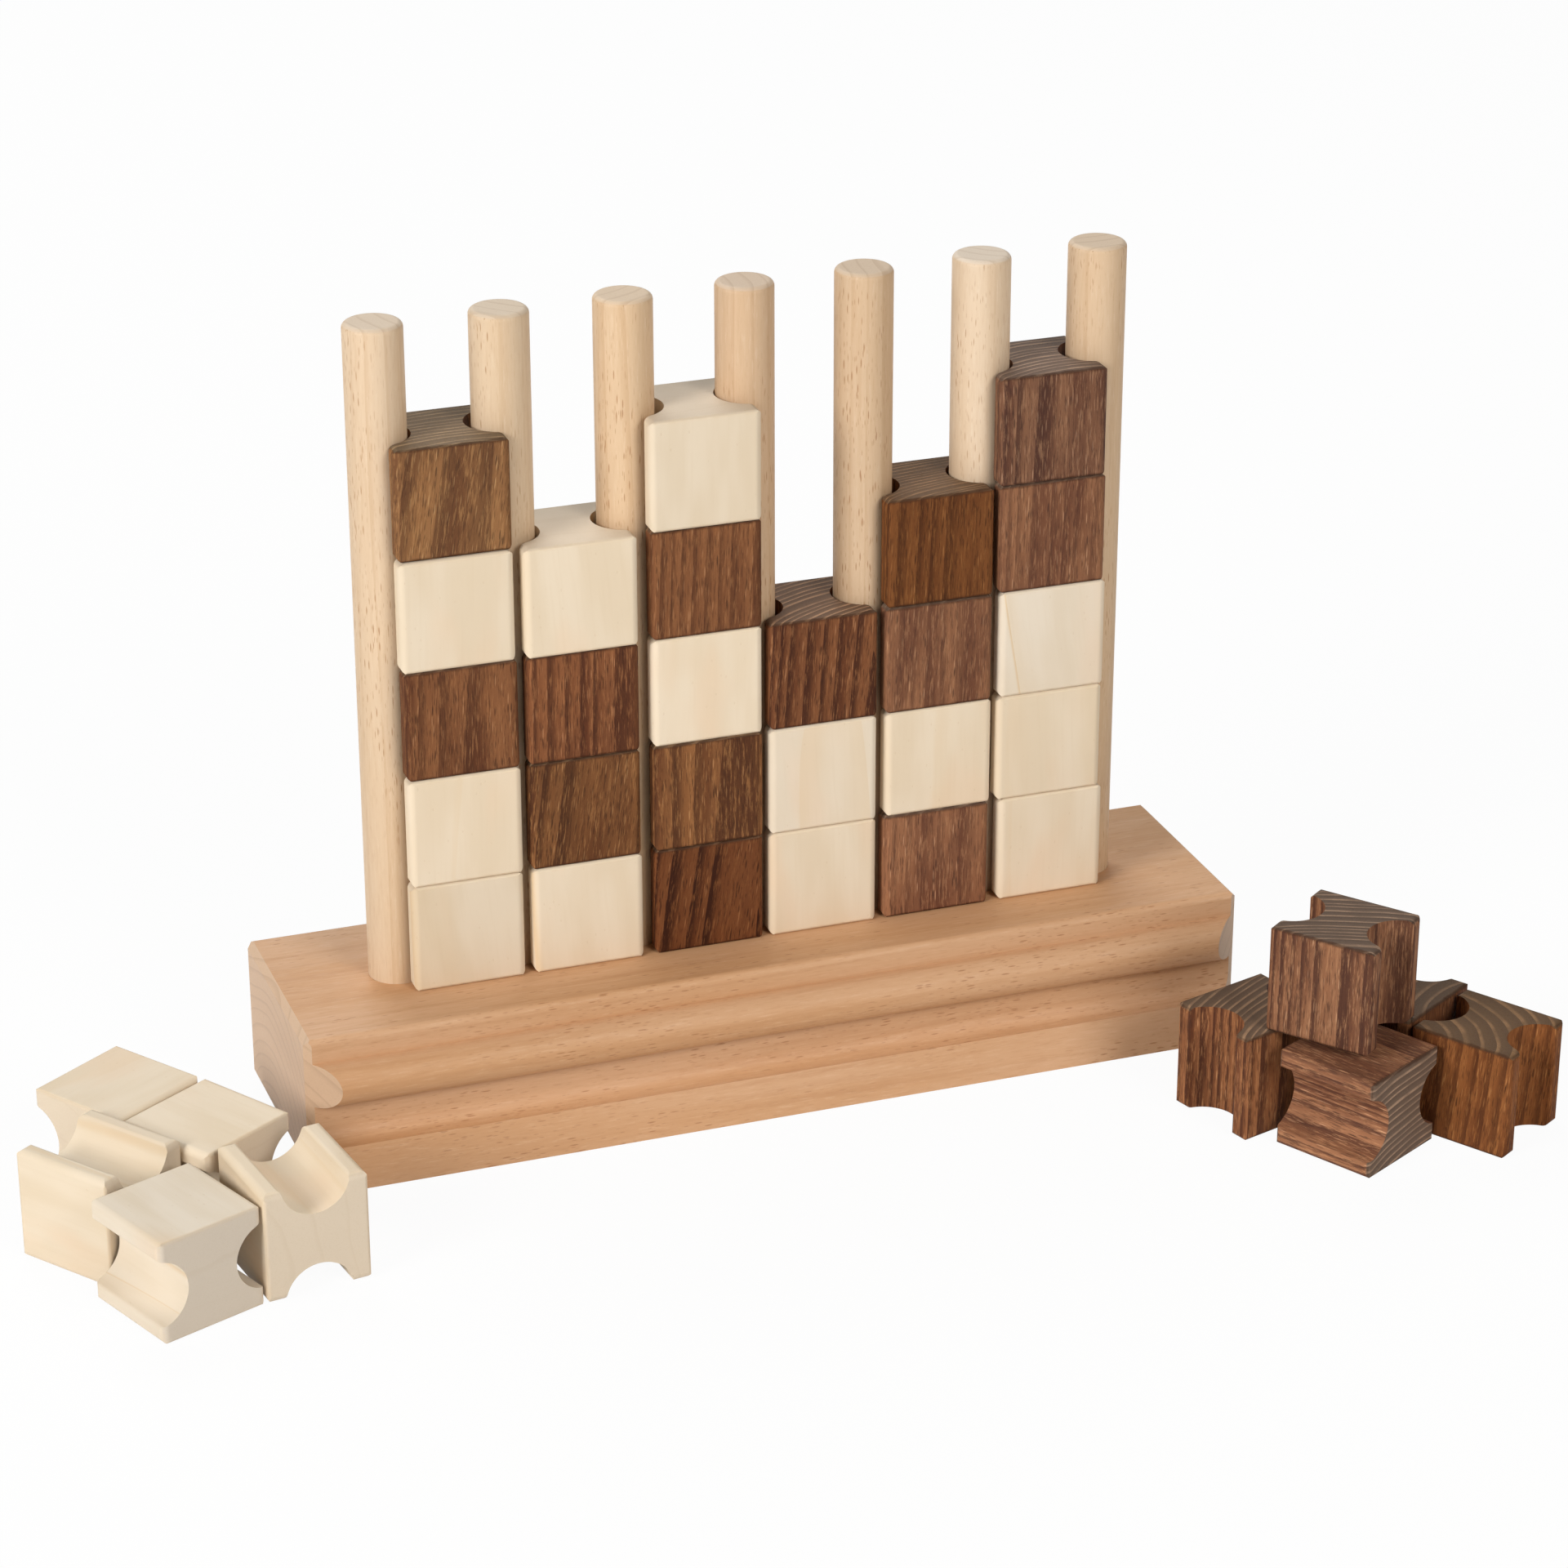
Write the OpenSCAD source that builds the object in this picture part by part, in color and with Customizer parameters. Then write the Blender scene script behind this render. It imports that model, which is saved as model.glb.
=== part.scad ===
// Four in a row game: seven dowels stand in a moulded base,
// and grooved blocks are dropped between them. Ten blocks lie loose beside it.
// Sizes in mm. X runs along the row of dowels, Y to the back, Z up.
// The origin is the centre of the base's underside.

/* [Dowels] */
// diameter of a dowel
dowel_d = 18; // [16:0.5:19]
// depth to which a dowel is glued into the base
dowel_in = 30; // [20:1:36]
// radius of the rounded edge at a dowel's top
dowel_round = 1.8; // [0.8:0.2:3]
// rows of blocks that the dowels hold
rows = 6; // [6:1:8]

/* [Base] */
// length from end face to end face
base_len = 306; // [300:1:330]
// depth of the flat top face, front to back
base_top_d = 74; // [68:1:84]
// height of the upright band under the top face
band_h = 7.7; // [6:0.1:10]
// radius of the half-round bead
bead_r = 7.2; // [5:0.1:8]
// height of the narrow flat below the bead
fillet_h = 6.4; // [4:0.1:8]
// radius of the hollow moulding
cove_r = 5.8; // [4:0.1:8]
// height of the sloping foot
foot_h = 12.2; // [9:0.1:16]
// how far the foot's slope runs outwards, top to bottom
foot_run = 5.2; // [2:0.1:8]
// depth of the slanting corner cut at the top band
corner_cut = 2.2; // [1:0.1:4]
// radius along the long edges of the top face
top_round = 2.2; // [1:0.1:3]
// bevel along the two ends of the top face and of the underside
end_bevel = 2; // [1:0.1:3]

/* [Blocks] */
// width of a block between its two dowels
block_w = 35.5; // [33:0.5:38]
// gap between the blocks of neighbouring columns, over the middle of the dowel
column_gap = 2.5; // [2:0.1:3]
// thickness of a block, front to back
block_d = 32.5; // [30:0.5:34]
// height of a block along its grooves
block_h = 35; // [34:0.5:38]
// gap all round between a dowel and a groove
groove_gap = 1.7; // [1.2:0.1:2]
// radius of the upright outer edges
side_round = 2.2; // [1:0.1:2.3]
// radius of a front face's corners
face_round = 2.3; // [1:0.1:3]
// radius along the top and bottom of the front and back faces
end_round = 1; // [0.4:0.1:2]
// radius of a groove's lips
lip_round = 1.2; // [0.4:0.1:1.3]

/* [Hidden] */
$fn = 96;
// glue line round a dowel in its hole, room left under it, and bevel round its foot
glue_gap = 0.05;
bore_rest = 1;
dowel_ease = 1;
// how far a cut runs on past the wood
over = 5;

beech_tone = [0.80, 0.61, 0.42];
dowel_tone = [0.88, 0.76, 0.60];
light_tone = [0.90, 0.84, 0.73];
dark_tone = [0.42, 0.27, 0.18];

dowel_r = dowel_d / 2;
groove_r = dowel_r + groove_gap;
dowel_pitch = block_w + column_gap;
dowel_count = 7;
dowel_stand = rows * block_h;
half_top = base_top_d / 2;
foot_top = half_top + cove_r;
foot_half = foot_top + foot_run;
base_h = band_h + 2 * bead_r + fillet_h + cove_r + foot_h;
bead_z = base_h - band_h - bead_r;
half_len = base_len / 2;
end_half = half_top - corner_cut;

// sideways and front to back play of each stacked block, bottom to top,
// as a share of the gap round a dowel
play = [
    [[-0.06, 0.05], [0.02, -0.05], [-0.05, 0.08], [-0.34, 0], [-0.26, 0.55]],
    [[0.06, 0], [-0.09, 0.08], [-0.13, -0.05], [-0.25, -0.55]],
    [[0.77, 0.05], [0.79, -0.08], [0.73, 0.06], [0.72, -0.04], [0.55, -0.55]],
    [[0.44, 0.06], [0.41, -0.05], [0.49, 0.04]],
    [[0.29, -0.05], [0.58, 0.07], [0.39, 0], [0.43, 0.05]],
    [[0.79, 0.05], [0.04, -0.06], [0.30, 0], [-0.13, 0.06], [-0.43, -0.04]]
];

// gap between loose blocks that lie close together, and between those a little wider apart
close_gap = 0.6;
wide_gap = 1.8;

// each heap is laid out from its second block, whose centre lies this far outwards
// or inwards of the base's end, and this far behind the base's front edge or before it
light_out = 32.6;
light_back = 1.9;
dark_in = 18.4;
dark_front = 42.6;
light_heap_at = [-half_len - light_out, light_back - foot_half];
dark_heap_at = [half_len - dark_in, -foot_half - dark_front];

// the loose blocks: way up, turn about Z, and two marks that fix the centre.
// A block's sides are 0 to 3, counted from its own X side in quarter turns.
// ["off", n, side, gap]: it lies off that side of block n
// ["to", n, side, gap]: it turns that side of its own to block n
// ["by", n, side, share]: its centre lies towards that side of block n, by a share of its half width
light_heap = [
    ["face", -55.8, ["off", 2, 1, close_gap], ["off", 3, 1, wide_gap]],
    ["face", 32.1],
    ["groove", -54.3, ["off", 2, 2, close_gap], ["by", 2, 1, 0.49]],
    ["face", 21.6, ["to", 3, 1, close_gap], ["off", 5, 3, close_gap]],
    ["groove", -81.2, ["off", 2, 3, wide_gap], ["by", 2, 0, -0.38]]
];
dark_heap = [
    ["face", 28.6, ["to", 2, 1, close_gap], ["by", 2, 0, 0.58]],
    ["end", 16.8],
    ["end", -58.1, ["off", 4, 3, close_gap], ["off", 1, 0, close_gap]],
    ["end", 31.8, ["to", 1, 2, close_gap], ["by", 2, 3, 1.03]],
    ["end", -53, ["by", 1, 0, 0.28], ["by", 1, 1, 0.62]]
];

// flat shape with rounded corners, centred
module rounded(w, h, r) {
    square([w - 2 * r, h], center = true);
    square([w, h - 2 * r], center = true);
    for (x = [-1, 1], y = [-1, 1])
        translate([x * (w / 2 - r), y * (h / 2 - r)])
            circle(r);
}

// what the lip's rounding takes off one corner between groove and side
module lip_waste() {
    x = block_w / 2 - lip_round;
    run = dowel_pitch / 2 - x;
    arm = groove_r + lip_round;
    y = sqrt(arm * arm - run * run);
    touch = [dowel_pitch / 2 - run * groove_r / arm, y * groove_r / arm];
    difference() {
        polygon([[x, y], [block_w / 2 + lip_round, y], [dowel_pitch / 2, groove_r / 2], touch]);
        translate([x, y])
            circle(lip_round);
    }
}

// a block seen along its grooves
module block_plan() {
    difference() {
        rounded(block_w, block_d, side_round);
        for (side = [0, 1])
            mirror([side, 0])
                translate([dowel_pitch / 2, 0])
                    circle(groove_r);
        for (mx = [0, 1], my = [0, 1])
            mirror([mx, 0])
                mirror([0, my])
                    lip_waste();
    }
}

// one block, centred, with its grooves along Z
module block() {
    intersection() {
        translate([0, 0, -block_h / 2])
            linear_extrude(height = block_h)
                block_plan();
        translate([0, block_d / 2, 0])
            rotate([90, 0, 0])
                linear_extrude(height = block_d)
                    rounded(block_w, block_h, face_round);
        translate([-block_w / 2, 0, 0])
            rotate([90, 0, 90])
                linear_extrude(height = block_w)
                    rounded(block_d, block_h, end_round);
    }
}

function dowel_x(i) = (i - (dowel_count + 1) / 2) * dowel_pitch;

module stacked(column, row) {
    shift = play[column - 1][row - 1] * groove_gap;
    translate([dowel_x(column + 0.5) + shift[0], shift[1], base_h + (row - 0.5) * block_h])
        block();
}

// half width and half depth in plan of a block that lies a given way up, and its corners' radius
function plan(way) =
    way == "end" ? [block_w / 2, block_d / 2, side_round]
    : way == "face" ? [block_w / 2, block_h / 2, face_round]
    : [block_h / 2, block_d / 2, end_round];

// how far a loose block reaches from its centre in a direction
function reach(block, toward) =
    let (half = plan(block[0]), r = half[2], angle = toward - block[1])
    r + (half[0] - r) * abs(cos(angle)) + (half[1] - r) * abs(sin(angle));

// the direction in which a mark puts block i of a heap
function mark_way(heap, i, mark) =
    mark[0] == "to" ? heap[i - 1][1] + 90 * mark[2] + 180 : heap[mark[1] - 1][1] + 90 * mark[2];

// how far out in that direction the mark puts the block's centre
function mark_run(heap, i, mark) =
    let (way = mark_way(heap, i, mark), other = heap[mark[1] - 1])
    centre(heap, mark[1]) * [cos(way), sin(way)] + (mark[0] == "by"
        ? mark[3] * reach(other, way)
        : reach(other, way) + mark[3] + reach(heap[i - 1], way));

// centre of block i from the first laid block of its heap: where its two marks' lines cross
function centre(heap, i) =
    let (block = heap[i - 1])
    len(block) == 2 ? [0, 0]
    : let (
        a = mark_way(heap, i, block[2]),
        b = mark_way(heap, i, block[3]),
        p = mark_run(heap, i, block[2]),
        q = mark_run(heap, i, block[3])
    )
    [p * sin(b) - q * sin(a), q * cos(a) - p * cos(b)] / sin(b - a);

// block i of a heap, on the table or on the blocks under it
module loose(heap_at, heap, i, under = 0) {
    way = heap[i - 1][0];
    rise = way == "end" ? block_h : way == "face" ? block_d : block_w;
    turn = way == "end" ? [0, 0, 0] : way == "face" ? [90, 0, 0] : [0, 90, 0];
    translate(concat(heap_at + centre(heap, i), under + rise / 2))
        rotate([0, 0, heap[i - 1][1]])
            rotate(turn)
                block();
}

module dowel(i) {
    translate([dowel_x(i), 0, base_h - dowel_in])
        rotate_extrude()
            dowel_half();
}

// half of a dowel's long section: bevelled foot, rounded top
module dowel_half() {
    top = dowel_in + dowel_stand;
    polygon([
        [0, 0], [dowel_r - dowel_ease, 0], [dowel_r, dowel_ease],
        [dowel_r, top - dowel_round], [dowel_r - dowel_round, top - dowel_round],
        [dowel_r - dowel_round, top], [0, top]
    ]);
    intersection() {
        translate([dowel_r - dowel_round, top - dowel_round])
            circle(dowel_round);
        translate([dowel_r - dowel_round, top - dowel_round])
            square(dowel_round);
    }
}

// the moulding's front half in section, depth along X and height along Y
module moulding_half() {
    difference() {
        union() {
            square([half_top, base_h]);
            translate([half_top, bead_z])
                circle(bead_r);
            square([foot_top, foot_h + cove_r]);
            polygon([[0, 0], [foot_half, 0], [foot_top, foot_h], [0, foot_h]]);
        }
        translate([foot_top, foot_h + cove_r])
            circle(cove_r);
        translate([half_top - top_round, base_h - top_round])
            difference() {
                square(top_round + over);
                circle(top_round);
            }
    }
}

module moulding() {
    moulding_half();
    mirror([1, 0])
        moulding_half();
}

// the base from above: an oblong with its four corners cut at a slant
module base_outline() {
    far = foot_half + over;
    cut = far - end_half;
    polygon([
        [half_len, -end_half], [half_len, end_half], [half_len - cut, far], [cut - half_len, far],
        [-half_len, end_half], [-half_len, -end_half], [cut - half_len, -far], [half_len - cut, -far]
    ]);
}

// the base from the front: bevelled ends
module base_front() {
    polygon([
        [end_bevel - half_len, 0], [half_len - end_bevel, 0], [half_len, end_bevel],
        [half_len, base_h - end_bevel], [half_len - end_bevel, base_h],
        [end_bevel - half_len, base_h], [-half_len, base_h - end_bevel], [-half_len, end_bevel]
    ]);
}

module base() {
    color(beech_tone)
        difference() {
            intersection() {
                translate([-half_len, 0, 0])
                    rotate([90, 0, 90])
                        linear_extrude(height = base_len)
                            moulding();
                linear_extrude(height = base_h)
                    base_outline();
                translate([0, foot_half, 0])
                    rotate([90, 0, 0])
                        linear_extrude(height = 2 * foot_half)
                            base_front();
            }
            for (i = [1:dowel_count])
                translate([dowel_x(i), 0, base_h - dowel_in - bore_rest])
                    cylinder(r = dowel_r + glue_gap, h = dowel_in + bore_rest + over);
        }
}

module dowel_1() { color(dowel_tone) dowel(1); }
module dowel_2() { color(dowel_tone) dowel(2); }
module dowel_3() { color(dowel_tone) dowel(3); }
module dowel_4() { color(dowel_tone) dowel(4); }
module dowel_5() { color(dowel_tone) dowel(5); }
module dowel_6() { color(dowel_tone) dowel(6); }
module dowel_7() { color(dowel_tone) dowel(7); }

module light_block_column_1_row_1() { color(light_tone) stacked(1, 1); }
module light_block_column_1_row_2() { color(light_tone) stacked(1, 2); }
module dark_block_column_1_row_3() { color(dark_tone) stacked(1, 3); }
module light_block_column_1_row_4() { color(light_tone) stacked(1, 4); }
module dark_block_column_1_row_5() { color(dark_tone) stacked(1, 5); }
module light_block_column_2_row_1() { color(light_tone) stacked(2, 1); }
module dark_block_column_2_row_2() { color(dark_tone) stacked(2, 2); }
module dark_block_column_2_row_3() { color(dark_tone) stacked(2, 3); }
module light_block_column_2_row_4() { color(light_tone) stacked(2, 4); }
module dark_block_column_3_row_1() { color(dark_tone) stacked(3, 1); }
module dark_block_column_3_row_2() { color(dark_tone) stacked(3, 2); }
module light_block_column_3_row_3() { color(light_tone) stacked(3, 3); }
module dark_block_column_3_row_4() { color(dark_tone) stacked(3, 4); }
module light_block_column_3_row_5() { color(light_tone) stacked(3, 5); }
module light_block_column_4_row_1() { color(light_tone) stacked(4, 1); }
module light_block_column_4_row_2() { color(light_tone) stacked(4, 2); }
module dark_block_column_4_row_3() { color(dark_tone) stacked(4, 3); }
module dark_block_column_5_row_1() { color(dark_tone) stacked(5, 1); }
module light_block_column_5_row_2() { color(light_tone) stacked(5, 2); }
module dark_block_column_5_row_3() { color(dark_tone) stacked(5, 3); }
module dark_block_column_5_row_4() { color(dark_tone) stacked(5, 4); }
module light_block_column_6_row_1() { color(light_tone) stacked(6, 1); }
module light_block_column_6_row_2() { color(light_tone) stacked(6, 2); }
module light_block_column_6_row_3() { color(light_tone) stacked(6, 3); }
module dark_block_column_6_row_4() { color(dark_tone) stacked(6, 4); }
module dark_block_column_6_row_5() { color(dark_tone) stacked(6, 5); }

module loose_light_block_1() { color(light_tone) loose(light_heap_at, light_heap, 1); }
module loose_light_block_2() { color(light_tone) loose(light_heap_at, light_heap, 2); }
module loose_light_block_3() { color(light_tone) loose(light_heap_at, light_heap, 3); }
module loose_light_block_4() { color(light_tone) loose(light_heap_at, light_heap, 4); }
module loose_light_block_5() { color(light_tone) loose(light_heap_at, light_heap, 5); }
module loose_dark_block_1() { color(dark_tone) loose(dark_heap_at, dark_heap, 1); }
module loose_dark_block_2() { color(dark_tone) loose(dark_heap_at, dark_heap, 2); }
module loose_dark_block_3() { color(dark_tone) loose(dark_heap_at, dark_heap, 3); }
module loose_dark_block_4() { color(dark_tone) loose(dark_heap_at, dark_heap, 4); }
module loose_dark_block_5() { color(dark_tone) loose(dark_heap_at, dark_heap, 5, max(block_h, block_d)); }

base();
dowel_1();
dowel_2();
dowel_3();
dowel_4();
dowel_5();
dowel_6();
dowel_7();
light_block_column_1_row_1();
light_block_column_1_row_2();
dark_block_column_1_row_3();
light_block_column_1_row_4();
dark_block_column_1_row_5();
light_block_column_2_row_1();
dark_block_column_2_row_2();
dark_block_column_2_row_3();
light_block_column_2_row_4();
dark_block_column_3_row_1();
dark_block_column_3_row_2();
light_block_column_3_row_3();
dark_block_column_3_row_4();
light_block_column_3_row_5();
light_block_column_4_row_1();
light_block_column_4_row_2();
dark_block_column_4_row_3();
dark_block_column_5_row_1();
light_block_column_5_row_2();
dark_block_column_5_row_3();
dark_block_column_5_row_4();
light_block_column_6_row_1();
light_block_column_6_row_2();
light_block_column_6_row_3();
dark_block_column_6_row_4();
dark_block_column_6_row_5();
loose_light_block_1();
loose_light_block_2();
loose_light_block_3();
loose_light_block_4();
loose_light_block_5();
loose_dark_block_1();
loose_dark_block_2();
loose_dark_block_3();
loose_dark_block_4();
loose_dark_block_5();
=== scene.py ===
"""Four in a row game: the woods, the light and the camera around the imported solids."""

import math
import random
from collections import namedtuple

import bpy
from mathutils import Euler, Matrix, Vector


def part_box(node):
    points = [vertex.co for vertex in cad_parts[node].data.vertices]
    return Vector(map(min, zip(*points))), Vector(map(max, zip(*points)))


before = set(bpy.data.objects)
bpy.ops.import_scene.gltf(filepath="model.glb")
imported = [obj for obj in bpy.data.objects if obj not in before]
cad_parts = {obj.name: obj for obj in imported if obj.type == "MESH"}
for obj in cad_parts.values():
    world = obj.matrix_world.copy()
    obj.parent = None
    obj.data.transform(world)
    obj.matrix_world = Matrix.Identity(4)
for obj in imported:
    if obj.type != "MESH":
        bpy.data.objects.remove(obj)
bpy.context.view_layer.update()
scene = bpy.context.scene

# Millimetres in a metre. Lengths in the woods are in mm, those of the stage in metres.
MM = 1000.0

# The camera stands to the left of the front and looks down on the game. Its turn is in degrees,
# its lens and sensor are in mm.
CAMERA_PLACE = (-0.42197, -1.21366, 0.67275)
CAMERA_TURN = (65.686, 0.040, -19.711)
CAMERA_LENS = 103.86
CAMERA_SENSOR = 36.0
CAMERA_REACH = 50.0

# The lamps, all aimed at one point: direction from +X and rise in degrees, size, watts and colour.
Lamp = namedtuple("Lamp", "name turn rise size power colour")
LAMPS = (
    Lamp("key", -155, 27, 1.2, 47.0, (1.0, 0.98, 0.94)),
    Lamp("front", -71, 32, 1.2, 28.5, (1.0, 0.97, 0.92)),
    Lamp("back", 90, 51, 1.6, 26.0, (0.96, 1.0, 1.0)),
)
LAMP_DISTANCE = 2.6
LAMP_AIM = (0.0, 0.0, 0.10)

# The world's own light on the game is faint. What the camera and gloss see of it is plain white.
SOFT_LIGHT = (1.0, 0.99, 0.97, 1.0)
SOFT_STRENGTH = 0.03
WHITE = (1.0, 1.0, 1.0, 1.0)
WHITE_STRENGTH = 1.0

# The floor reaches far past the view, lies a hair under the base and shows this share of white.
FLOOR_REACH = 14.0
FLOOR_DROP = 0.0002
FLOOR_WHITE = 0.95

# How each loose block lies: the way up, and its turn about Z in degrees.
LOOSE = {
    "loose_light_block_1": ("face", -55.8),
    "loose_light_block_2": ("face", 32.1),
    "loose_light_block_3": ("groove", -54.3),
    "loose_light_block_4": ("face", 21.6),
    "loose_light_block_5": ("groove", -81.2),
    "loose_dark_block_1": ("face", 28.6),
    "loose_dark_block_2": ("end", 16.8),
    "loose_dark_block_3": ("end", -58.1),
    "loose_dark_block_4": ("end", 31.8),
    "loose_dark_block_5": ("end", -53.0),
}
STANDING = ("end", 0.0)
WAYS_UP = {
    "end": Matrix.Identity(3),
    "face": Matrix.Rotation(math.radians(90), 3, "X"),
    "groove": Matrix.Rotation(math.radians(90), 3, "Y"),
}

# Half a block's width, thickness and height.
BLOCK_HALF = (17.75, 16.25, 17.5)

# The share of a dark block's tint that its ends take, and how much lighter its ends are painted in the
# stack: painted light, which stands in for the sheen and light on the tops of the stack.
END_SHARE = 0.65
STACK_ENDS_PAINTED_LIGHT = 1.45

# How strongly the relief of the grain shows, and how far along its log a piece may come from.
RELIEF_STRENGTH = 0.55
LOG_REACH = 400

BLOCK_SEED = 7
DOWEL_SEED = 3

# Tints of the woods.
OLIVE = (1.08, 1.15, 1.02)
AMBER = (1.00, 0.80, 0.54)
BROWN = (0.94, 0.88, 0.72)
CHESTNUT = (0.90, 0.82, 0.75)
RED = (0.86, 0.73, 0.66)
DEEP = (0.63, 0.48, 0.38)
ROSY = (1.12, 1.14, 1.26)
MAUVE = (0.89, 0.95, 1.14)
CREAM = (1.00, 1.00, 1.00)
WHITISH = (0.99, 1.02, 1.08)

# What a piece's wood does: tint, shade, the grain's lean and the way from the log's heart, both in
# degrees, the years' width, the distance from the heart and the strength of the figure.
Look = namedtuple("Look", "tint shade lean angle year distance figure")
LOOKS = {
    "dark_block_column_1_row_3": Look(CHESTNUT, 0.96, 2, 103, 2.4, 90, 0.70),
    "dark_block_column_1_row_5": Look(OLIVE, 1.00, 8, 94, 2.6, 80, 0.65),
    "dark_block_column_2_row_2": Look(BROWN, 0.88, 7, 95, 2.6, 70, 1.05),
    "dark_block_column_2_row_3": Look(RED, 1.03, 1, 112, 2.6, 90, 0.90),
    "dark_block_column_3_row_1": Look(DEEP, 0.95, 8, 104, 3.0, 80, 1.35),
    "dark_block_column_3_row_2": Look(BROWN, 1.06, 0, 100, 2.8, 70, 0.90),
    "dark_block_column_3_row_4": Look(CHESTNUT, 0.98, 2, 115, 2.4, 90, 0.60),
    "dark_block_column_4_row_3": Look(RED, 0.92, 4, 114, 2.6, 70, 1.15),
    "dark_block_column_5_row_1": Look(ROSY, 1.11, 1, 108, 2.4, 90, 0.40),
    "dark_block_column_5_row_3": Look(ROSY, 0.97, 2, 110, 2.4, 90, 0.40),
    "dark_block_column_5_row_4": Look(AMBER, 0.66, 2, 103, 2.2, 80, 0.80),
    "dark_block_column_6_row_4": Look(ROSY, 0.97, 1, 115, 2.2, 80, 0.45),
    "dark_block_column_6_row_5": Look(MAUVE, 1.00, 0, 98, 2.8, 60, 0.95),
    "loose_dark_block_1": Look(ROSY, 1.30, 0, 98, 2.6, 90, 1.00),
    "loose_dark_block_2": Look(CHESTNUT, 1.36, 0, 108, 3.0, 160, 1.20),
    "loose_dark_block_3": Look(AMBER, 1.02, 5, 50, 5.0, 36, 0.75),
    "loose_dark_block_4": Look(CHESTNUT, 1.05, 0, 96, 4.6, 50, 0.80),
    "loose_dark_block_5": Look(ROSY, 1.00, 0, 122, 2.8, 140, 1.10),
    "light_block_column_1_row_1": Look(CREAM, 0.93, -6, 96, 13.0, 72, 0.60),
    "light_block_column_1_row_4": Look(CREAM, 0.96, 1, 95, 12.0, 90, 0.15),
    "light_block_column_2_row_1": Look(CREAM, 1.00, -5, 96, 14.0, 82, 0.60),
    "light_block_column_2_row_4": Look(CREAM, 0.98, -5, 96, 13.0, 82, 1.00),
    "light_block_column_3_row_5": Look(CREAM, 0.93, 1, 92, 12.0, 100, 0.15),
    "light_block_column_4_row_2": Look(WHITISH, 1.01, -4, 96, 15.0, 60, 0.35),
    "light_block_column_6_row_3": Look(WHITISH, 0.99, -8, 95, 12.0, 60, 0.90),
    "loose_light_block_3": Look(CREAM, 0.94, 0, 90, 12.0, 80, 0.30),
    "loose_light_block_4": Look(WHITISH, 0.94, 0, 97, 14.0, 60, 0.60),
}

# Each dowel's tint and the strength of its figure, from left to right.
DOWELS = (
    ((0.91, 0.95, 1.01), 0.40),
    ((0.90, 0.95, 1.01), 0.30),
    ((0.92, 0.93, 0.94), 0.45),
    ((0.86, 0.86, 0.89), 0.50),
    ((0.84, 0.84, 0.85), 0.35),
    ((0.97, 1.06, 1.20), 0.25),
    ((0.88, 0.89, 0.91), 0.30),
)
DOWEL_YEAR = 5.0

# The base's look, and where its middle lies in its log.
BASE_LOOK = Look(CREAM, 1.0, 0, 0, 4.5, 0, 0.20)
BASE_SPOT = (-38.0, -8.0, 0.0)


def tone(red, green, blue):
    """A colour given as it looks on a screen, 0 to 255, as the shader's linear value."""
    def linear(value):
        value /= 255.0
        return value / 12.92 if value <= 0.04045 else ((value + 0.055) / 1.055) ** 2.4
    return (linear(red), linear(green), linear(blue), 1.0)


class Nodes:
    """Adds nodes to one node tree and wires them up."""

    def __init__(self, tree):
        self.tree = tree

    def add(self, kind, inputs=None, **settings):
        node = self.tree.nodes.new(kind)
        for key, value in settings.items():
            setattr(node, key, value)
        for key, value in (inputs or {}).items():
            self.put(node.inputs[key], value)
        return node

    def put(self, socket, value):
        if isinstance(value, bpy.types.NodeSocket):
            self.tree.links.new(value, socket)
        else:
            socket.default_value = value

    def math(self, operation, a, b=0.0, c=0.0, clamp=False):
        inputs = {0: a, 1: b, 2: c}
        return self.add("ShaderNodeMath", inputs, operation=operation, use_clamp=clamp).outputs[0]

    def times(self, a, b):
        return self.math("MULTIPLY", a, b)

    def vector(self, operation, a, b=(0.0, 0.0, 0.0)):
        return self.add("ShaderNodeVectorMath", {0: a, 1: b}, operation=operation)

    def noise(self, point, scale, detail=2.0, roughness=0.5, along=1.0):
        """Noise from 0 to 1. With along under 1, its pattern is drawn out along the grain."""
        if along != 1.0:
            point = self.vector("MULTIPLY", point, (1.0, 1.0, along)).outputs[0]
        inputs = {"Vector": point, "Scale": scale, "Detail": detail, "Roughness": roughness}
        return self.add("ShaderNodeTexNoise", inputs).outputs["Fac"]

    def between(self, value, low, high, to_low=0.0, to_high=1.0):
        """A smooth step: to_low where the value is at low, to_high where it is at high."""
        inputs = {0: value, 1: low, 2: high, 3: to_low, 4: to_high}
        return self.add("ShaderNodeMapRange", inputs, interpolation_type="SMOOTHSTEP").outputs[0]

    def mix(self, share, a, b, blend="MIX"):
        node = self.add("ShaderNodeMix", data_type="RGBA", blend_type=blend)
        self.put(node.inputs[0], share)
        self.put(node.inputs[6], a)
        self.put(node.inputs[7], b)
        return node.outputs[2]

    def layers(self, colour, *coats):
        """A colour under coats, each given as its share and its tone."""
        for share, coat in coats:
            colour = self.mix(share, colour, coat)
        return colour


def new_material(name):
    material = bpy.data.materials.new(name)
    material.use_nodes = True
    material.node_tree.nodes.clear()
    return material, Nodes(material.node_tree)


def group_tree(name, inputs, outputs):
    tree = bpy.data.node_groups.new(name, "ShaderNodeTree")
    for label, kind in inputs:
        tree.interface.new_socket(label, in_out="INPUT", socket_type=kind)
    for label, kind in outputs:
        tree.interface.new_socket(label, in_out="OUTPUT", socket_type=kind)
    n = Nodes(tree)
    return n, n.add("NodeGroupInput").outputs, n.add("NodeGroupOutput").inputs


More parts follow.
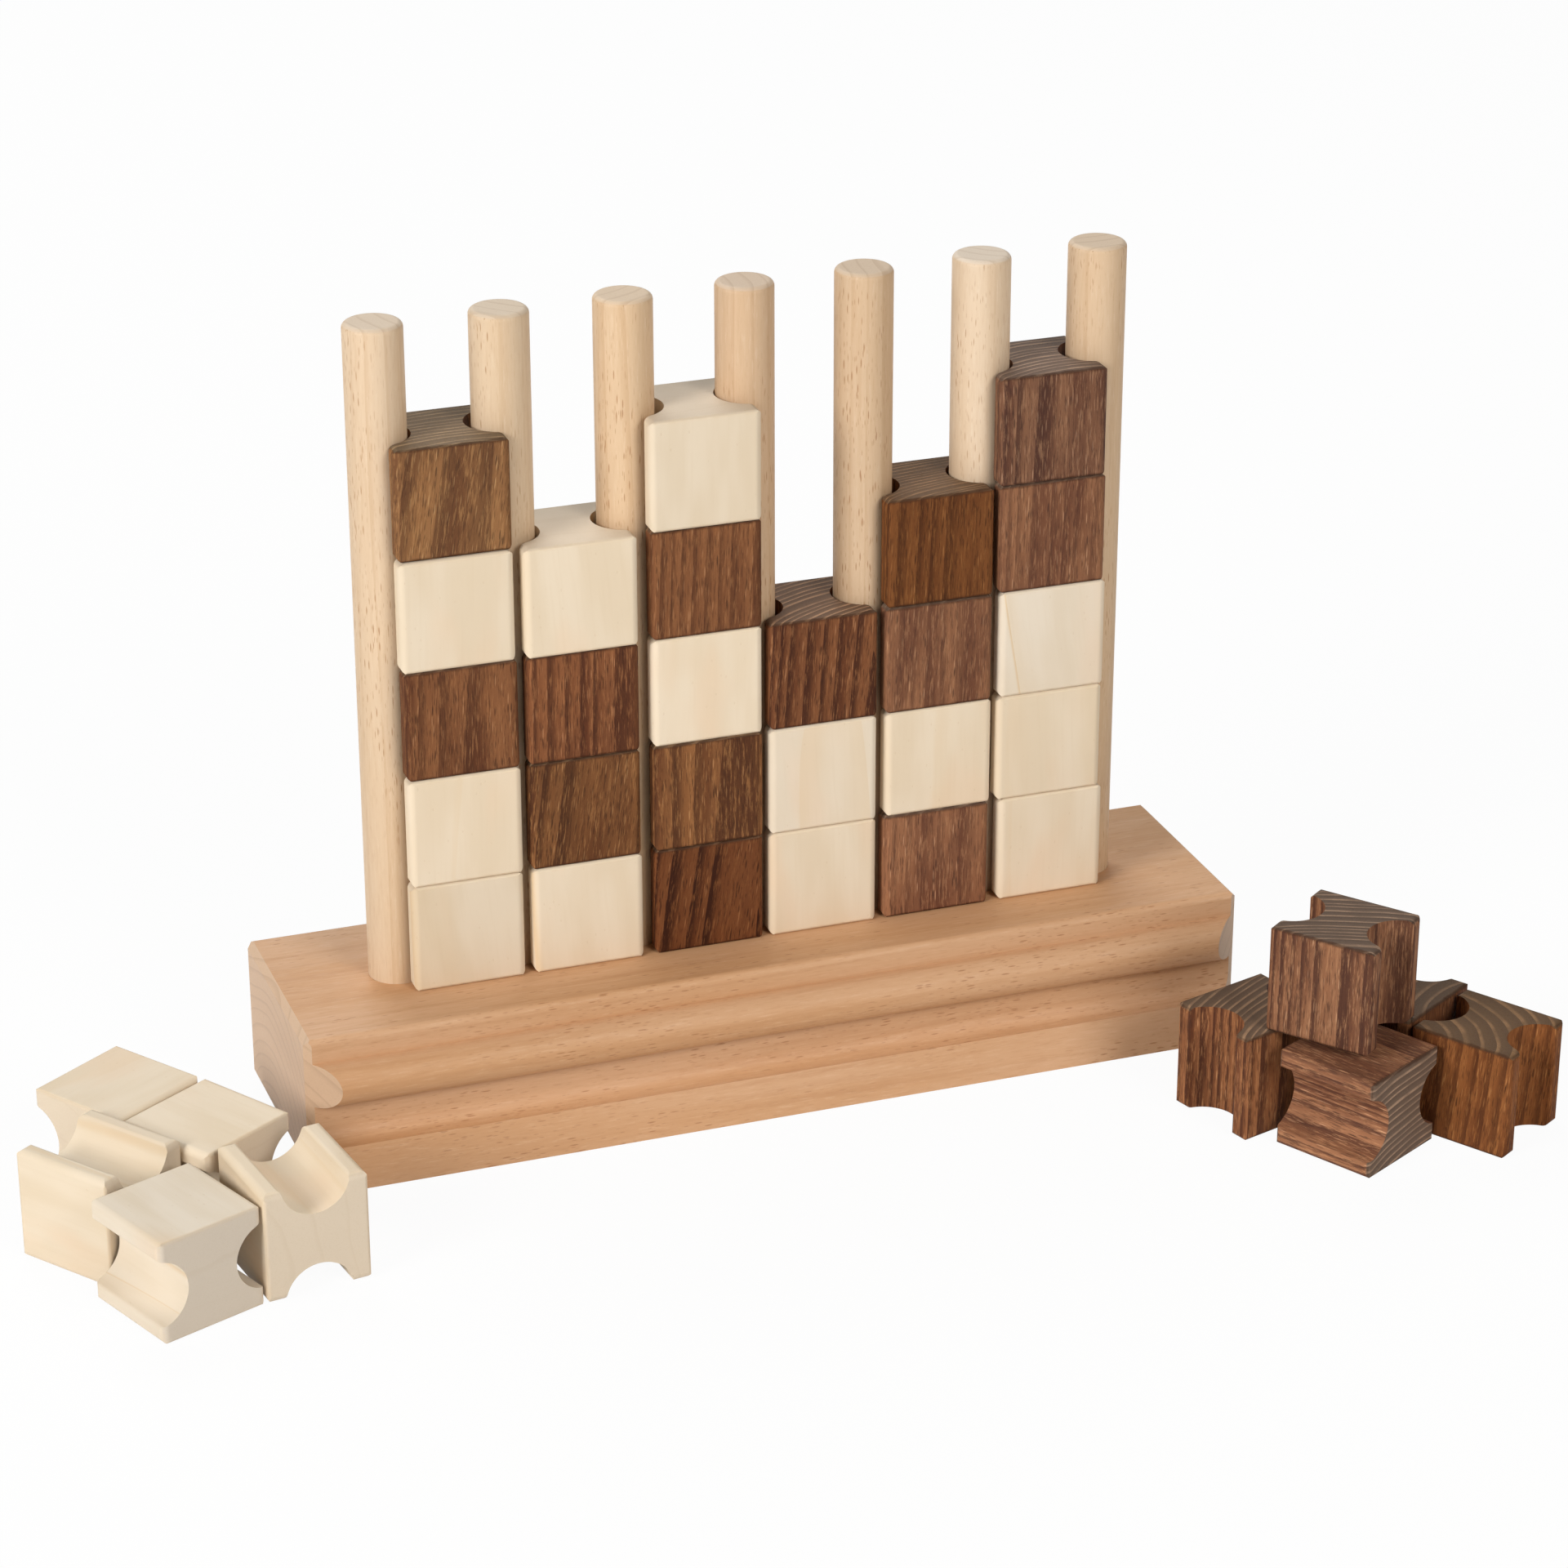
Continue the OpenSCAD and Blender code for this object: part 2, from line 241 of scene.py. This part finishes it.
# Every wood takes the same inputs. The pale woods leave End Tint alone, and beech leaves Edge too.
WOOD_INPUTS = (
    ("Point", "NodeSocketVector"),
    ("Facing", "NodeSocketVector"),
    ("Tint", "NodeSocketColor"),
    ("End Tint", "NodeSocketColor"),
    ("Figure", "NodeSocketFloat"),
    ("Year", "NodeSocketFloat"),
    ("Edge", "NodeSocketFloat"),
)
WOOD_OUTPUTS = (
    ("Color", "NodeSocketColor"),
    ("Roughness", "NodeSocketFloat"),
    ("Height", "NodeSocketFloat"),
)


def growth(n, point, width, waver, uneven):
    """Growth rings round the grain: 0 where a year starts, 1 where it ends, and the ring's number."""
    bent = n.noise(point, 0.022, roughness=0.45, along=0.12)
    flat = n.vector("MULTIPLY", point, (1.0, 1.0, 0.0)).outputs[0]
    radius = n.vector("LENGTH", flat).outputs["Value"]
    radius = n.math("MULTIPLY_ADD", bent, waver, radius)
    inputs = {"W": n.times(radius, 0.11), "Scale": 1.0, "Detail": 1.0}
    swell = n.add("ShaderNodeTexNoise", inputs, noise_dimensions="1D").outputs["Fac"]
    radius = n.math("MULTIPLY_ADD", swell, uneven, radius)
    count = n.math("DIVIDE", radius, width)
    return n.math("FRACT", count), n.math("FLOOR", count)


def dashes(n, point, across, along, thick, keep):
    """Short dashes that run with the grain, in cells across by along: 1 inside one, 0 outside."""
    grid = n.vector("MULTIPLY", point, (1.0 / across, 1.0 / across, 1.0 / along)).outputs[0]
    cells = n.add("ShaderNodeTexVoronoi", {"Vector": grid, "Scale": 1.0, "Randomness": 1.0},
                  feature="F1", voronoi_dimensions="3D")
    near = n.between(cells.outputs["Distance"], thick, thick * 0.45)
    picked = n.add("ShaderNodeSeparateColor", {0: cells.outputs["Color"]}).outputs[0]
    return n.times(near, n.math("LESS_THAN", picked, keep))


def worn_and_shaded_edges():
    """1 along the edges of a block's two ends, 0 away from them: the point is in mm from its middle. It
    marks wear on the edges and, between stacked blocks, painted shade in the joints.
    """
    n, given, made = group_tree("worn and shaded edges", (("Point", "NodeSocketVector"),),
                                (("Edge", "NodeSocketFloat"),))
    out = n.vector("ABSOLUTE", given["Point"]).outputs[0]
    out = n.vector("SUBTRACT", out, BLOCK_HALF).outputs[0]
    x, y, z = n.add("ShaderNodeSeparateXYZ", {0: out}).outputs
    near = n.math("MAXIMUM", n.math("MINIMUM", y, z), n.math("MINIMUM", x, z))
    broken = n.noise(given["Point"], 0.25, detail=3.0, roughness=0.6)
    near = n.math("MULTIPLY_ADD", n.math("SUBTRACT", broken, 0.5), 1.6, near)
    n.put(made["Edge"], n.between(near, -1.3, -0.3))
    return n.tree


def end_share(n, facing):
    """0 where the surface lies along the grain, 1 where it cuts across it."""
    along = n.add("ShaderNodeSeparateXYZ", {0: facing}).outputs[2]
    return n.between(n.math("ABSOLUTE", along), 0.45, 0.69)


def figured(n, figure, value, low, high, share):
    """A smooth step up to a share, times the strength of the figure."""
    return n.math("MULTIPLY", n.between(value, low, high, 0.0, share), figure, clamp=True)


def dark_side(n, point, figure, year, late, fibre, pores):
    """The dark wood along its grain: bands by the year, streaks, threads, pores and glints."""
    early = n.between(year, 0.45, 0.10)
    broad = n.noise(point, 0.10, along=0.12)
    thread = n.noise(point, 2.2, roughness=0.7, along=0.08)
    glints = dashes(n, point, across=0.7, along=7.0, thick=0.34, keep=0.45)
    fine = n.between(figure, 0.3, 1.2, 1.0, 1.4)
    bright = n.times(n.times(glints, 0.54), fine)
    return n.layers(
        n.mix(n.between(broad, 0.36, 0.64), tone(105, 67, 47), tone(139, 95, 65)),
        (figured(n, figure, late, 0.0, 1.0, 0.75), tone(75, 47, 36)),
        (figured(n, figure, early, 0.0, 1.0, 0.30), tone(157, 112, 79)),
        (n.times(n.between(fibre, 0.50, 0.64, 0.0, 0.46), fine), tone(168, 122, 85)),
        (n.times(n.between(thread, 0.52, 0.66, 0.0, 0.46), fine), tone(66, 44, 35)),
        (n.times(pores, n.between(early, 0.0, 1.0, 0.25, 0.65)), tone(60, 41, 33)),
        (n.times(bright, n.between(early, 0.0, 1.0, 0.45, 1.0)), tone(191, 146, 108)))


def dark_end(n, point, figure, year, late):
    """The dark wood's end grain: grey-brown, with a pale ring where a year starts."""
    fade = n.between(n.noise(point, 0.12), 0.38, 0.62, 0.45, 1.0)
    rings = n.times(figured(n, figure, year, 0.36, 0.14, 1.0), fade)
    specks = n.noise(point, 2.0, roughness=0.6)
    return n.layers(
        tone(103, 85, 70),
        (rings, tone(158, 130, 105)),
        (figured(n, figure, late, 0.0, 1.0, 0.40), tone(82, 66, 56)),
        (n.between(specks, 0.50, 0.72, 0.0, 0.30), tone(75, 62, 53)))


def dark_wood():
    """Heat-browned ash: warm bands, broken pale and dark streaks, grey-brown ends with pale rings."""
    n, given, made = group_tree("dark ash", WOOD_INPUTS, WOOD_OUTPUTS)
    point, figure = given["Point"], given["Figure"]
    ends = end_share(n, given["Facing"])
    year, _ = growth(n, point, given["Year"], waver=7.0, uneven=4.0)
    late = n.between(year, 0.35, 0.92)
    fibre = n.noise(point, 1.3, detail=4.0, roughness=0.75, along=0.09)
    pores = dashes(n, point, across=0.8, along=6.0, thick=0.36, keep=0.55)
    side = dark_side(n, point, figure, year, late, fibre, pores)
    end = dark_end(n, point, figure, year, late)
    tint = n.mix(ends, given["Tint"], given["End Tint"])
    colour = n.mix(1.0, n.mix(ends, side, end), tint, "MULTIPLY")
    # Partly wear, partly painted shade: along the edges of the ends the colour goes dark brown, for
    # browned edges and for the shade in the joints between stacked blocks.
    n.put(made["Color"], n.mix(n.times(given["Edge"], 0.70), colour, tone(64, 37, 22)))
    n.put(made["Roughness"], n.between(fibre, 0.3, 0.7, 0.54, 0.70))
    n.put(made["Height"], n.math("MULTIPLY_ADD", fibre, 0.6, n.times(pores, -0.9)))
    return n.tree


def light_wood():
    """Pale maple: nearly even, with a few faint ochre lines where the years meet."""
    n, given, made = group_tree("pale maple", WOOD_INPUTS, WOOD_OUTPUTS)
    point = given["Point"]
    ends = end_share(n, given["Facing"])
    year, number = growth(n, point, given["Year"], waver=22.0, uneven=8.0)
    line = n.math("MAXIMUM", n.between(year, 0.84, 0.99), n.between(year, 0.04, 0.0))
    some = n.add("ShaderNodeTexWhiteNoise", {"W": number}, noise_dimensions="1D").outputs[0]
    line = n.times(line, n.between(some, 0.15, 0.60, 0.2, 1.0))
    fibre = n.noise(point, 0.8, detail=3.0, roughness=0.55, along=0.05)
    cloud = n.noise(point, 0.08, along=0.25)
    blush = n.noise(point, 0.045, along=0.4)
    flecks = dashes(n, point, across=1.5, along=3.6, thick=0.18, keep=0.20)
    side = n.layers(
        n.mix(n.between(cloud, 0.35, 0.65), tone(230, 212, 186), tone(236, 220, 197)),
        (n.between(blush, 0.52, 0.70, 0.0, 0.45), tone(236, 208, 178)),
        (n.times(line, given["Figure"]), tone(224, 194, 150)),
        (n.between(fibre, 0.48, 0.75, 0.0, 0.10), tone(218, 196, 163)),
        (n.times(flecks, 0.22), tone(206, 178, 142)))
    specks = n.noise(point, 2.2, roughness=0.6)
    end = n.layers(
        tone(224, 208, 187),
        (n.times(line, 0.20), tone(210, 190, 164)),
        (n.between(specks, 0.45, 0.75, 0.0, 0.30), tone(214, 196, 170)))
    colour = n.mix(1.0, n.mix(ends, side, end), given["Tint"], "MULTIPLY")
    # Partly wear, partly painted shade: along the edges of the ends the colour goes a darker ochre,
    # which also darkens the joints between stacked blocks.
    n.put(made["Color"], n.mix(n.times(given["Edge"], 0.25), colour, tone(214, 188, 150)))
    n.put(made["Roughness"], n.between(fibre, 0.3, 0.7, 0.50, 0.62))
    n.put(made["Height"], n.math("MULTIPLY_ADD", flecks, -0.5, n.times(fibre, 0.5)))
    return n.tree


# The tones of one kind of beech, and the size of the cells that its flecks lie in.
Beech = namedtuple("Beech", "pale deep streak glow fleck end_pale end_deep across along")
BASE_TONES = Beech(pale=tone(211, 168, 131), deep=tone(203, 156, 114), streak=tone(187, 137, 95),
                   glow=tone(222, 184, 150), fleck=tone(170, 120, 81), end_pale=tone(210, 179, 151),
                   end_deep=tone(182, 150, 125), across=0.9, along=6.0)
DOWEL_TONES = Beech(pale=tone(230, 200, 166), deep=tone(222, 188, 150), streak=tone(208, 170, 130),
                    glow=tone(238, 213, 183), fleck=tone(180, 130, 88), end_pale=tone(230, 204, 175),
                    end_deep=tone(200, 168, 134), across=0.8, along=6.5)


def beech_wood(name, tones):
    """Beech: long soft streaks of colour and short dark flecks that run with the grain."""
    n, given, made = group_tree(name, WOOD_INPUTS, WOOD_OUTPUTS)
    point = given["Point"]
    ends = end_share(n, given["Facing"])
    year, _ = growth(n, point, given["Year"], waver=9.0, uneven=5.0)
    line = n.between(year, 0.70, 0.97)
    broad = n.noise(point, 0.06, along=0.08)
    drift = n.noise(point, 0.30, detail=3.0, roughness=0.55, along=0.035)
    fibre = n.noise(point, 1.4, detail=4.0, roughness=0.70, along=0.09)
    flecks = dashes(n, point, tones.across, tones.along, thick=0.30, keep=0.60)
    small = dashes(n, point, tones.across * 0.7, tones.along * 0.6, thick=0.30, keep=0.55)
    crowd = n.between(n.noise(point, 0.07, detail=1.0, along=0.20), 0.40, 0.60, 0.10, 0.80)
    side = n.layers(
        n.mix(n.between(broad, 0.34, 0.68), tones.pale, tones.deep),
        (n.times(line, given["Figure"]), tones.streak),
        (n.between(drift, 0.50, 0.72, 0.0, 0.35), tones.streak),
        (n.between(fibre, 0.52, 0.70, 0.0, 0.30), tones.streak),
        (n.between(fibre, 0.46, 0.32, 0.0, 0.35), tones.glow),
        (n.times(flecks, crowd), tones.fleck),
        (n.times(small, n.times(crowd, 0.6)), tones.fleck))
    specks = n.noise(point, 1.8, roughness=0.6)
    end = n.layers(
        tones.end_pale,
        (n.times(line, 0.40), tones.end_deep),
        (n.between(specks, 0.48, 0.75, 0.0, 0.18), tones.end_deep))
    colour = n.mix(ends, side, end)
    n.put(made["Color"], n.mix(1.0, colour, given["Tint"], "MULTIPLY"))
    n.put(made["Roughness"], n.between(fibre, 0.3, 0.7, 0.46, 0.60))
    n.put(made["Height"], n.math("MULTIPLY_ADD", flecks, -0.7, n.times(fibre, 0.5)))
    return n.tree


# Each wood's node group, the height of its relief and its gloss.
Wood = namedtuple("Wood", "group relief shine")
DARK = Wood(dark_wood(), 0.16, 0.08)
LIGHT = Wood(light_wood(), 0.08, 0.30)
BASE_BEECH = Wood(beech_wood("base beech", BASE_TONES), 0.06, 0.30)
DOWEL_BEECH = Wood(beech_wood("dowel beech", DOWEL_TONES), 0.06, 0.32)
EDGES = worn_and_shaded_edges()


def middle(node):
    low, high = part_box(node)
    return (low + high) / 2


def in_log(draw, distance, angle):
    """Where a piece's middle lies in the log, from its heart."""
    turn = math.radians(angle)
    return (distance * math.cos(turn), distance * math.sin(turn), draw.uniform(-LOG_REACH, LOG_REACH))


def turned_back(n, place, node, turn, spot):
    """The point in mm without the piece's turn, and with the piece's middle at the spot."""
    back = turn.inverted()
    shift = Vector(spot) - back @ (Vector(middle(node)) * MM)
    inputs = {"Vector": place.outputs["Object"], "Location": shift,
              "Rotation": back.to_euler("XYZ"), "Scale": (MM, MM, MM)}
    return n.add("ShaderNodeMapping", inputs, vector_type="POINT").outputs[0]


def paint(node, wood, look, turn, spot, block_turn=None, end_light=1.0):
    """Gives a piece its own material: the wood in that piece's grain, at its own spot in the log."""
    material, n = new_material(node)
    place = n.add("ShaderNodeTexCoord")
    inputs = {"Vector": place.outputs["Normal"], "Rotation": turn.inverted().to_euler("XYZ")}
    facing = n.add("ShaderNodeMapping", inputs, vector_type="VECTOR")
    tint = [value * look.shade for value in look.tint]
    end_tint = [(END_SHARE * value + 1.0 - END_SHARE) * end_light for value in tint]
    inputs = {"Point": turned_back(n, place, node, turn, spot), "Facing": facing.outputs[0],
              "Tint": (*tint, 1.0), "End Tint": (*end_tint, 1.0),
              "Figure": look.figure, "Year": look.year}
    grain = n.add("ShaderNodeGroup", inputs, node_tree=wood.group)
    if block_turn is not None:
        inputs = {"Point": turned_back(n, place, node, block_turn, (0.0, 0.0, 0.0))}
        edges = n.add("ShaderNodeGroup", inputs, node_tree=EDGES)
        n.put(grain.inputs["Edge"], edges.outputs["Edge"])
    relief = n.add("ShaderNodeBump", {"Height": grain.outputs["Height"], "Strength": RELIEF_STRENGTH,
                                      "Distance": wood.relief / MM})
    shader = n.add("ShaderNodeBsdfPrincipled", {"Base Color": grain.outputs["Color"],
                                                "Roughness": grain.outputs["Roughness"],
                                                "Specular IOR Level": wood.shine,
                                                "Normal": relief.outputs[0]})
    n.add("ShaderNodeOutputMaterial", {"Surface": shader.outputs[0]})
    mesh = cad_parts[node].data
    mesh.materials.clear()
    mesh.materials.append(material)


def paint_blocks():
    """The blocks: those that LOOKS doesn't name are plain light ones, each a little different."""
    draw = random.Random(BLOCK_SEED)
    for node in sorted(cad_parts):
        if "block" not in node:
            continue
        angle = draw.uniform(70, 110)
        shade = draw.uniform(0.985, 1.01)
        lean = draw.uniform(-3, 3)
        distance = draw.uniform(60, 120)
        look = LOOKS.get(node, Look(CREAM, shade, lean, angle, 12.0, distance, 0.15))
        way, yaw = LOOSE.get(node, STANDING)
        block_turn = Matrix.Rotation(math.radians(yaw), 3, "Z") @ WAYS_UP[way]
        turn = block_turn @ Matrix.Rotation(math.radians(look.lean), 3, "Y")
        spot = in_log(draw, look.distance, look.angle)
        wood = DARK if "dark" in node else LIGHT
        # Painted light: stacked blocks get lighter ends, for the brighter look of the stack's tops.
        end_light = 1.0 if node in LOOSE else STACK_ENDS_PAINTED_LIGHT
        paint(node, wood, look, turn, spot, block_turn, end_light)


def paint_stand():
    """The dowels, upright, and the base, with its grain along X."""
    draw = random.Random(DOWEL_SEED)
    for number, (tint, figure) in enumerate(DOWELS, 1):
        distance = draw.uniform(30, 80)
        angle = draw.uniform(0, 360)
        look = Look(tint, 1.0, 0, angle, DOWEL_YEAR, distance, figure)
        spot = in_log(draw, distance, angle)
        paint("dowel_%d" % number, DOWEL_BEECH, look, Matrix.Identity(3), spot)
    along_x = Matrix.Rotation(math.radians(90), 3, "Y")
    paint("base", BASE_BEECH, BASE_LOOK, along_x, BASE_SPOT)


def seen_white(n):
    """1 for the camera's rays and for those of gloss and glass, which see plain white."""
    path = n.add("ShaderNodeLightPath").outputs
    seen = n.math("ADD", path["Is Camera Ray"], path["Is Glossy Ray"], clamp=True)
    return n.math("ADD", seen, path["Is Transmission Ray"], clamp=True)


def floor_material():
    """A matt sheet that shows nearly white to the camera and in reflections, and keeps the shadow."""
    material, n = new_material("floor")
    matt = n.add("ShaderNodeBsdfDiffuse", {"Color": tone(250, 250, 250)})
    glow = n.add("ShaderNodeEmission", {"Color": WHITE, "Strength": WHITE_STRENGTH})
    share = n.times(seen_white(n), FLOOR_WHITE)
    blend = n.add("ShaderNodeMixShader", {0: share, 1: matt.outputs[0], 2: glow.outputs[0]})
    n.add("ShaderNodeOutputMaterial", {"Surface": blend.outputs[0]})
    return material


def add_floor():
    mesh = bpy.data.meshes.new("floor")
    corners = [(x * FLOOR_REACH, y * FLOOR_REACH, 0) for x, y in ((-1, -1), (1, -1), (1, 1), (-1, 1))]
    mesh.from_pydata(corners, [], [(0, 1, 2, 3)])
    floor = bpy.data.objects.new("floor", mesh)
    scene.collection.objects.link(floor)
    floor.location.z = -FLOOR_DROP
    mesh.materials.append(floor_material())


def add_world():
    world = bpy.data.worlds.new("studio")
    scene.world = world
    world.use_nodes = True
    world.node_tree.nodes.clear()
    n = Nodes(world.node_tree)
    soft = n.add("ShaderNodeBackground", {"Color": SOFT_LIGHT, "Strength": SOFT_STRENGTH})
    white = n.add("ShaderNodeBackground", {"Color": WHITE, "Strength": WHITE_STRENGTH})
    blend = n.add("ShaderNodeMixShader", {0: seen_white(n), 1: soft.outputs[0], 2: white.outputs[0]})
    n.add("ShaderNodeOutputWorld", {"Surface": blend.outputs[0]})


def around(turn, rise, distance):
    """A place seen from the middle of the game: its direction from +X, its rise and its distance."""
    turn, rise = math.radians(turn), math.radians(rise)
    flat = distance * math.cos(rise)
    return Vector((flat * math.cos(turn), flat * math.sin(turn), distance * math.sin(rise)))


def add_lights():
    for lamp in LAMPS:
        data = bpy.data.lights.new(lamp.name, "AREA")
        data.shape = "DISK"
        data.size = lamp.size
        data.energy = lamp.power
        data.color = lamp.colour
        light = bpy.data.objects.new(lamp.name, data)
        scene.collection.objects.link(light)
        light.location = around(lamp.turn, lamp.rise, LAMP_DISTANCE)
        light.rotation_euler = (Vector(LAMP_AIM) - light.location).to_track_quat("-Z", "Y").to_euler()


def add_camera():
    data = bpy.data.cameras.new("camera")
    data.lens = CAMERA_LENS
    data.sensor_width = CAMERA_SENSOR
    data.clip_end = CAMERA_REACH
    camera = bpy.data.objects.new("camera", data)
    scene.collection.objects.link(camera)
    camera.location = CAMERA_PLACE
    camera.rotation_euler = Euler([math.radians(angle) for angle in CAMERA_TURN], "XYZ")
    scene.camera = camera


add_camera()
paint_blocks()
paint_stand()
add_floor()
add_world()
add_lights()
scene.view_settings.view_transform = "Standard"
